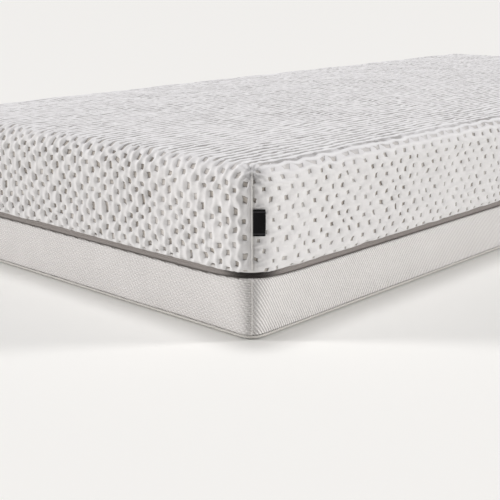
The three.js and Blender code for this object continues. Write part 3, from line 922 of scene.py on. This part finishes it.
def side_relief(side, out, arc):
    """One side of the cover: how far the knit stands off its section, how strong and how flat it is,
    and its cloth coordinates, each with a row for each point of the section.

    Over the top's edge the cloth fans round each corner as the top's own cloth does, and down the
    side it runs straight, and a smoothstep of the arc length leads from one to the other. To the
    knit's own relief come the gathers at the seam's top, cos(13 * angle) * exp(-distance / 0.016), a
    groove exp(-(distance / 0.005)^2) at the seam, level wrinkles beside it on the long sides, and slow
    puffs. Near the seam and inside the hem the relief is calmer."""
    lengthwise = side % 2
    _, _, turn, along = side_stations(side, (knit_xs, knit_ys)[lengthwise], knit_corner_steps)
    deep = half_width if lengthwise else half_length
    level = arc[:, None]
    reach = out[:, None]
    fan_start = 0.012
    polar = 1 - smoothstep((level - fan_start) / (seam_top - fan_start))
    bent = polar * level * np.sin(turn)[None] + (1 - polar) * reach * turn[None]
    run = along[None] + bent
    fall = deep + polar * level * np.cos(turn)[None] + (1 - polar) * level
    u, v = ((run, -fall), (fall, run), (-run, fall), (-fall, -run))[side]

    from_seam = along[-1] - np.abs(along)[None] + reach * (math.pi / 4 - np.abs(turn))[None]
    flat_ends = 0.010 + 0.018 * lengthwise * np.clip(from_seam / 0.060, 0, 1)
    flat = smoothstep(1 - (level - flat_ends) / 0.040)
    height, drawn_u, drawn_v, strong = knit_relief(u, v, flat, lengthwise * (1 - flat))
    calm = 1 - (0.25 if lengthwise else 0.60) * np.exp(-((from_seam / 0.016) ** 2))
    inside_hem = (level > arc[0] - 0.012) * 0.9
    rounding = lengthwise * np.exp(-(((level - 0.034) / 0.014) ** 2))
    height = height * calm * (1 - inside_hem) * (1 - 0.35 * rounding)
    strong = strong * (1 - inside_hem) * (1 - 0.25 * rounding)

    above = seam_top - level
    away = np.hypot(from_seam, above)
    around = np.arctan2(from_seam, above)
    gathers = 0.0032 * np.cos(13 * around) * np.exp(-away / 0.016) * np.clip(away / 0.005, 0, 1)
    below = np.clip(-above / 0.012, 0, 1)
    groove = -0.0030 * np.exp(-((from_seam / 0.0050) ** 2)) * (0.15 + 0.85 * below)
    wrinkle_pitch, wrinkle_reach = 0.0080, 0.030
    wrinkles = 0.0022 * lengthwise * np.sin(2 * np.pi * (level + 0.2 * from_seam) / wrinkle_pitch)
    wrinkles = wrinkles * np.exp(-from_seam / wrinkle_reach) * below
    wrinkles = wrinkles * soft_noise(run, level, 0.02, 20 + side)
    off_hem = 1 - np.exp(-(((arc[0] - level) / 0.010) ** 2))
    puffs = puff_height * soft_noise(u, v, puff_cell, 8) * off_hem
    cloth = np.stack([drawn_u, drawn_v], axis=2)
    return height + gathers + groove + wrinkles + puffs, strong, flat, cloth


def cover_lining():
    """The cover's plain inner side, as reach and height: from its top, over a round shoulder, down to
    just above the hem."""
    out, up = knit_reach - knit_thickness, knit_high.z - knit_thickness
    return np.array([[out - 0.030, up], [out - 0.012, up - 0.004], [out - 0.003, up - 0.013],
                     [out, up - 0.030], [out, 0.16], [out, knit_low.z + 0.006]])


def upper_cover():
    """The whole knit as one closed piece: a ring of section points, first down the inner side and
    then round the hem and up the outside, closed by a grid over the top and by a flat inner top.
    Each point of the outside stands off the section by its relief, along the surface's direction."""
    out, up, normal_out, normal_up, arc = cover_section()
    lift, strength, flatness, cloth = zip(*(side_relief(side, out, arc) for side in range(4)))
    shared = [0.5 * (lift[side][:, 0] + lift[side - 1][:, -1]) for side in range(4)]
    ring_lift = np.concatenate([np.column_stack([shared[side], lift[side][:, 1:-1]])
                                for side in range(4)], axis=1)
    ring_strength, ring_flat, left_map = (np.concatenate([part[:, :-1] for part in parts], axis=1)
                                          for parts in (strength, flatness, cloth))
    right_map = np.concatenate([part[:, 1:] for part in cloth], axis=1)

    base, direction, turn, along, side = ring_stations(knit_xs, knit_ys, knit_corner_steps)
    side_arc = float(knit_reach - knit_round + knit_round * math.pi / 2)
    hem_share = np.clip((arc - side_arc) / (arc[0] - side_arc), 0, 1)[:, None]
    rise = zip_rise(corner_distance(turn, along, side, knit_reach))[None] * hem_share ** 2
    wave = 0.0010 * soft_noise(base[:, 0] + 5 * base[:, 1], turn, 0.08, 9)[None] * hem_share ** 3
    radius = out[:, None] + ring_lift * normal_out[:, None]
    height = up[:, None] + ring_lift * normal_up[:, None] + rise + wave
    outer = sweep(base, direction, radius, height)
    lining = cover_lining()
    shape = (len(lining), len(base))
    inner = sweep(base, direction, np.broadcast_to(lining[:, :1], shape),
                  np.broadcast_to(lining[:, 1:], shape))
    x, y = np.meshgrid(knit_xs, knit_ys, indexing="ij")
    top_lift, top_u, top_v, top_strength = knit_relief(x, y, 1.0, 0.0)
    top_puffs = puff_height * soft_noise(x, y, puff_cell, 8)
    grid = np.stack([x, y, knit_high.z + top_lift + top_puffs], axis=2)
    points = np.concatenate([inner.reshape(-1, 3), outer.reshape(-1, 3), grid.reshape(-1, 3)])
    faces = dome_faces(len(lining) + len(arc), base, knit_xs, knit_ys)
    piece = mesh_piece("knitted_cover", points, *faces)

    ring_stretched = np.broadcast_to((side % 2)[None].astype(float), radius.shape) * (1 - ring_flat)
    # Painted shadow: a narrow dark line in the knit's colour just past each corner seam, below the top's
    # edge, for the shade beside the seam's cord. It goes to the shader as the value named seam.
    past_seam = knit_reach * (turn + math.pi / 4)
    shadow_place, shadow_width = 0.0022, 0.0016
    shadow = np.exp(-(((past_seam - shadow_place) / shadow_width) ** 2))
    ring_shadow = shadow[None] * (arc > seam_top)[:, None]
    none_inside, none_on_top = np.zeros(inner.size // 3), np.zeros_like(top_strength)
    for name, on_ring, on_top in (("strength", ring_strength, top_strength),
                                  ("flat", ring_flat, np.ones_like(top_strength)),
                                  ("stretched", ring_stretched, none_on_top),
                                  ("seam", ring_shadow, none_on_top)):
        paint_value(piece, name, np.concatenate([none_inside, on_ring.ravel(), on_top.ravel()]))

    no_map = np.zeros((*shape, 2))
    left_map, right_map = np.concatenate([no_map, left_map]), np.concatenate([no_map, right_map])
    ring_uv = np.stack([left_map[:-1], right_map[:-1], right_map[1:], left_map[1:]], axis=2)
    top_uv = np.stack([top_u, top_v], axis=2).reshape(-1, 2)
    by_point = np.concatenate([left_map.reshape(-1, 2), top_uv])
    by_corner = [ring_uv.reshape(-1, 2)] + [by_point[part.ravel()] for part in faces[1:]]
    layer = piece.data.uv_layers.new(name="cloth")
    layer.data.foreach_set("uv", np.concatenate(by_corner).ravel())
    piece.data.materials.append(knit_cloth())
    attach(piece, "upper_cover")
    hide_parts("upper_cover")


upper_cover()


# ---------------------------------------------------------------- Cover seams
# The four upright seams at the corners of the cover: the two edges of the knit are overlocked
# together with white thread, which leaves a narrow ridge down the middle of the corner.
seam_thread = thread_cloth("seam_thread", (0.66, 0.64, 0.61), (0.86, 0.85, 0.83), seam_stitch_pitch)
seam_low, seam_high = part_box("cover_seam_foot_left")
seam_cord_thickness, seam_cord_sunk, seam_cord_rings = 0.0013, 0.0006, 130
seam_heights = np.linspace(seam_low.z + 0.005, seam_high.z + 0.025, seam_cord_rings)
rising_part = slice(60, -12)
section_out, section_up = (column[rising_part] for column in cover_section()[:2])
seam_reach = np.interp(seam_heights, section_up, section_out) - seam_cord_sunk
for corner, corner_name in enumerate(corner_names):
    upright_cord("cover_seam_cord_" + corner_name, corner, seam_reach, seam_heights,
                 seam_cord_thickness, seam_thread, "upper_cover", "cover_seam_" + corner_name)


# ---------------------------------------------------------------- Side label
# A folded loop of black woven ribbon, 18 by 40 mm, caught in the cover's corner seam at the foot's
# right-hand corner, so that it lies on the long side. It stands off the knit a little at its fold.
def ribbon():
    """A dense ribbed weave in black, with two narrow grey rules near its ends."""
    rib_pitch, rule_from_middle, rule_half_width = 0.0006, 0.0165, 0.0004
    material, tree, shader = new_material("label_ribbon", 0.8, sheen=0.03, specular=0.2)
    where = cloth_place(tree)
    s, z, _ = split(tree, where)
    ribs = calc(tree, "MULTIPLY", stripes(tree, s, rib_pitch), stripes(tree, z, rib_pitch))
    dark = blend_colour(tree, ribs, (0.003, 0.003, 0.0035), (0.011, 0.010, 0.012))
    edge = calc(tree, "ABSOLUTE", calc(tree, "SUBTRACT", z, 0.5 * (label_low.z + label_high.z)))
    rule = calc(tree, "COMPARE", edge, rule_from_middle, rule_half_width)
    tree.links.new(blend_colour(tree, calc(tree, "MULTIPLY", rule, 0.35), dark, (0.32, 0.31, 0.33)),
                   shader.inputs["Base Color"])
    set_bump(tree, shader, ribs, 0.0002)
    return material


label_low, label_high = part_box("side_label")


def side_label():
    """Two layers of ribbon joined by the fold: a loop of section points carried up the label. Each
    layer stands off the knit by a square law from the seam to the fold."""
    base, _, _, _ = side_stations(1, even_lines(2, 2)[1], 40)
    width = 0.017
    share = np.linspace(0, 1, 15)
    angle = -math.pi / 4 + 0.0008 / knit_reach + share * width / (knit_reach + 0.001)
    corner = base[0]
    lift = 0.0012 + 0.0032 * share ** 2
    half = 0.00035 + 0.0004 * np.sin(np.pi * share) ** 0.5
    tip = math.pi * np.linspace(0, 1, 7)[1:-1]
    tip_angle = angle[-1] + 0.0006 * np.sin(tip) / knit_reach
    loop_angle = np.concatenate([angle, tip_angle, angle[::-1]])
    loop_reach = knit_reach + np.concatenate([lift + half, lift[-1] + half[-1] * np.cos(tip),
                                              (lift - half)[::-1]])
    heights = np.linspace(label_low.z, label_high.z, 25)
    sway_height, sway_length = 0.0012, 0.040
    sway = sway_height * np.sin((heights - heights[0]) / sway_length * np.pi)
    outward = np.stack([np.cos(loop_angle), np.sin(loop_angle)], axis=1)
    bulge = np.concatenate([share, np.ones(len(tip)), share[::-1]])
    level = loop_reach[None] + sway[:, None] * bulge[None]
    flat = corner + level[..., None] * outward
    tall = np.broadcast_to(heights[:, None], level.shape)
    points = np.concatenate([flat, tall[..., None]], axis=2)
    count = len(loop_angle)
    last = (len(heights) - 1) * count
    piece = mesh_piece("side_label_ribbon", points, grid_faces(len(heights), count, close_columns=True),
                       np.arange(count)[None, ::-1], last + np.arange(count)[None])
    along = np.broadcast_to((loop_angle * knit_reach)[None], level.shape)
    paint_uv(piece, np.stack([along, tall], axis=2).reshape(-1, 2))
    piece.data.materials.append(ribbon())
    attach(piece, "upper_cover")
    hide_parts("side_label")


side_label()


# ---------------------------------------------------------------- Care label
# A plain white satin tab, sewn inside the border at the head end, which hangs free down the foam.
def satin():
    """Fine level threads with a sheen, and faint grey rules where care text would stand."""
    thread_pitch, rule_pitch, rule_half_length = 0.0005, 0.0060, 0.019
    material, tree, shader = new_material("care_satin", 0.4, sheen=0.5, specular=0.5)
    where = object_place(tree)
    x, _, z = split(tree, where)
    threads = stripes(tree, z, thread_pitch)
    colour = blend_colour(tree, threads, (0.76, 0.76, 0.75), (0.88, 0.88, 0.87))
    rules = calc(tree, "GREATER_THAN", stripes(tree, z, rule_pitch), 0.93)
    inside = calc(tree, "LESS_THAN", calc(tree, "ABSOLUTE", x), rule_half_length)
    mark = calc(tree, "MULTIPLY", calc(tree, "MULTIPLY", rules, inside), 0.5)
    tree.links.new(blend_colour(tree, mark, colour, (0.25, 0.25, 0.26)), shader.inputs["Base Color"])
    set_bump(tree, shader, threads, 0.0001)
    return material


def care_label():
    """A thin closed pad of cloth with a slow ripple, a sine, along its width."""
    low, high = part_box("care_label")
    x = np.linspace(low.x, high.x, 25)
    z = np.linspace(low.z, high.z, 21)
    middle, half = 0.5 * (low.y + high.y), 0.45 * (high.y - low.y)
    grid_x, grid_z = np.meshgrid(x, z, indexing="ij")
    ripple_height, ripple_length = 0.00006, 0.03
    ripple = ripple_height * np.sin(grid_x * 2 * np.pi / ripple_length)
    front = np.stack([grid_x, middle + half + ripple, grid_z], axis=2)
    back = np.stack([grid_x, middle - half + ripple, grid_z], axis=2)
    count = grid_x.size
    number = np.arange(count).reshape(grid_x.shape)
    rim = np.concatenate([number[:, 0], number[-1, 1:], number[-2::-1, -1], number[0, -2:0:-1]])
    behind = np.roll(rim, -1)
    sides = np.stack([rim, rim + count, behind + count, behind], axis=1)
    faces = grid_faces(*grid_x.shape)
    piece = mesh_piece("care_label_satin", np.concatenate([front.reshape(-1, 3), back.reshape(-1, 3)]),
                       faces, faces[:, ::-1] + count, sides)
    piece.data.materials.append(satin())
    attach(piece, "root")
    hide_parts("care_label")


care_label()


# ---------------------------------------------------------------- Zip hardware
# Slider, pull tab and the two stops are small castings in painted zinc, warm grey like the tape. The
# CAD's own solids show them, since they are hard.
def painted_zinc():
    """Semi-matt paint over cast metal: slow mottling, a fine orange-peel and worn bright specks."""
    material, tree, shader = new_material("painted_zinc", 0.38, specular=0.5, metallic=0.75)
    where = object_place(tree)
    peel = noise(tree, where, 1500)
    specks = calc(tree, "GREATER_THAN", noise(tree, where, 420), 0.68)
    colour = blend_colour(tree, noise(tree, where, 160), (0.20, 0.185, 0.17), (0.30, 0.28, 0.26))
    tree.links.new(blend_colour(tree, calc(tree, "MULTIPLY", specks, 0.5), colour, (0.5, 0.49, 0.47)),
                   shader.inputs["Base Color"])
    set_bump(tree, shader, peel, 0.00006)
    return material


zinc = painted_zinc()
for node_name in ("lower_zip_stop", "upper_zip_stop", "zip_slider", "zip_pull"):
    node_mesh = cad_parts[node_name].data
    node_mesh.materials.clear()
    node_mesh.materials.append(zinc)


# ---------------------------------------------------------------- Room, light and camera
# A pale floor under soft studio light, and the camera near the foot end's right-hand corner.
def matt(name, colour):
    """A plain matt paint of one colour."""
    material, _, shader = new_material(name, 0.95, specular=0.1)
    shader.inputs["Base Color"].default_value = (*colour, 1)
    return material


floor_size, floor_drop = 300.0, 0.0006
floor = mesh_piece("floor", [(x * floor_size, y * floor_size, -floor_drop)
                             for x, y in ((-1, -1), (1, -1), (1, 1), (-1, 1))], [[0, 1, 2, 3]])
floor.data.materials.append(matt("floor_paint", (0.94, 0.935, 0.91)))


def soft_sun(name, from_direction, power, spread, colour=(1, 1, 1)):
    """A broad light, the same all over the floor, that comes from the given direction."""
    light = bpy.data.lights.new(name, "SUN")
    light.energy = power
    light.angle = math.radians(spread)
    light.color = colour
    lamp = bpy.data.objects.new(name, light)
    distance = 4
    lamp.location = Vector(from_direction) * distance
    lamp.rotation_euler = Vector(from_direction).to_track_quat("Z", "Y").to_euler()
    bpy.context.scene.collection.objects.link(lamp)


soft_sun("left_light", (-0.71, -0.59, 0.29), 1.98, 12, (1, 0.985, 0.98))
soft_sun("right_light", (0.60, 0.72, 0.26), 1.95, 12, (1, 0.985, 0.975))
soft_sun("top_light", (-0.14, 0.12, 0.98), 1.03, 14, (1, 0.99, 1))

world = bpy.data.worlds.new("studio")
world.use_nodes = True
world.node_tree.nodes["Background"].inputs["Color"].default_value = (1.0, 0.99, 0.995, 1)
world.node_tree.nodes["Background"].inputs["Strength"].default_value = 0.27
bpy.context.scene.world = world

camera_place = Vector((1.4493, -2.0853, 0.542))
camera_pitch, camera_yaw = math.radians(15.08), math.radians(42.52)
camera_data = bpy.data.cameras.new("camera")
camera_data.sensor_width = 36
camera_data.lens = 75.8
camera = bpy.data.objects.new("camera", camera_data)
camera.location = camera_place
camera.rotation_euler = (math.pi / 2 - camera_pitch, 0, camera_yaw)
bpy.context.scene.collection.objects.link(camera)
bpy.context.scene.camera = camera
bpy.context.scene.view_settings.view_transform = "Standard"
